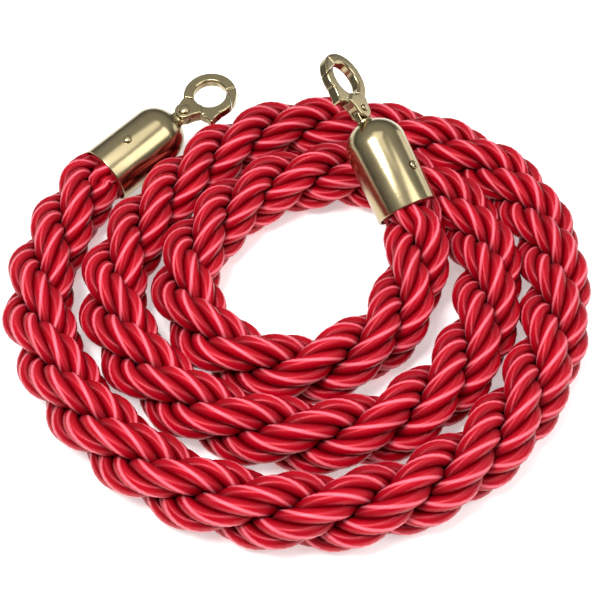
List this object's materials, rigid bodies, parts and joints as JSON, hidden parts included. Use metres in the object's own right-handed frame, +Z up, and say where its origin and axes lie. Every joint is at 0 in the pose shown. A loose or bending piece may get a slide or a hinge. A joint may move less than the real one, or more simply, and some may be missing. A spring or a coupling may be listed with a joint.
{
  "type": "barrier rope",
  "caption": "Thick twisted satin barrier rope laid in a flat spiral, with a domed brass end cap and a swivelling trigger snap hook at each end.",
  "frame": {"origin": "the middle of the laid rope's footprint, on the floor", "axes": "+Z up from the floor; +Y towards the side both hooks point to; +X towards the right of the coil seen from above with +Y up the page"},
  "size_m": [0.2851, 0.2827, 0.0794],
  "materials": {
    "rope": "glossy twisted satin cord",
    "polished_brass": "mirror-polished pale antique brass",
    "thread": "plain whipping thread",
    "spring_steel": "plain spring wire"
  },
  "bodies": {
    "rope": {"rope": "rope", "cap_a": "polished_brass", "cap_screw_a": "polished_brass", "rope_end_a": "rope", "whipping_a": "thread", "swivel_washer_a": "polished_brass", "cap_b": "polished_brass", "cap_screw_b": "polished_brass", "rope_end_b": "rope", "whipping_b": "thread", "swivel_washer_b": "polished_brass"},
    "hook_a": {"hook_body_a": "polished_brass", "pivot_pin_a": "polished_brass", "gate_spring_a": "spring_steel", "swivel_spacer_a": "polished_brass"},
    "gate_a": {"gate_lever_a": "polished_brass"},
    "hook_b": {"hook_body_b": "polished_brass", "pivot_pin_b": "polished_brass", "gate_spring_b": "spring_steel", "swivel_spacer_b": "polished_brass"},
    "gate_b": {"gate_lever_b": "polished_brass"}
  },
  "joints": [
    {"name": "hook_a_swivel", "type": "hinge", "parent": "rope", "child": "hook_a", "pos_m": [-0.06588, 0.11137, 0.02624], "axis": [0.7105, 0.6861, 0.1564], "continuous": true},
    {"name": "gate_a_open", "type": "hinge", "parent": "hook_a", "child": "gate_a", "pos_m": [-0.06176, 0.11535, 0.02715], "axis": [-0.0393, -0.1833, 0.9823], "range_deg": [0, 18], "stiffness_Nm_per_rad": 0.02, "springref_deg": -17.19},
    {"name": "hook_b_swivel", "type": "hinge", "parent": "rope", "child": "hook_b", "pos_m": [0.03345, 0.0767, 0.05633], "axis": [-0.4193, 0.7723, 0.4772], "continuous": true},
    {"name": "gate_b_open", "type": "hinge", "parent": "hook_b", "child": "gate_b", "pos_m": [0.03101, 0.08118, 0.05909], "axis": [-0.6906, 0.0698, -0.7199], "range_deg": [0, 18], "stiffness_Nm_per_rad": 0.02, "springref_deg": -17.19}
  ]
}
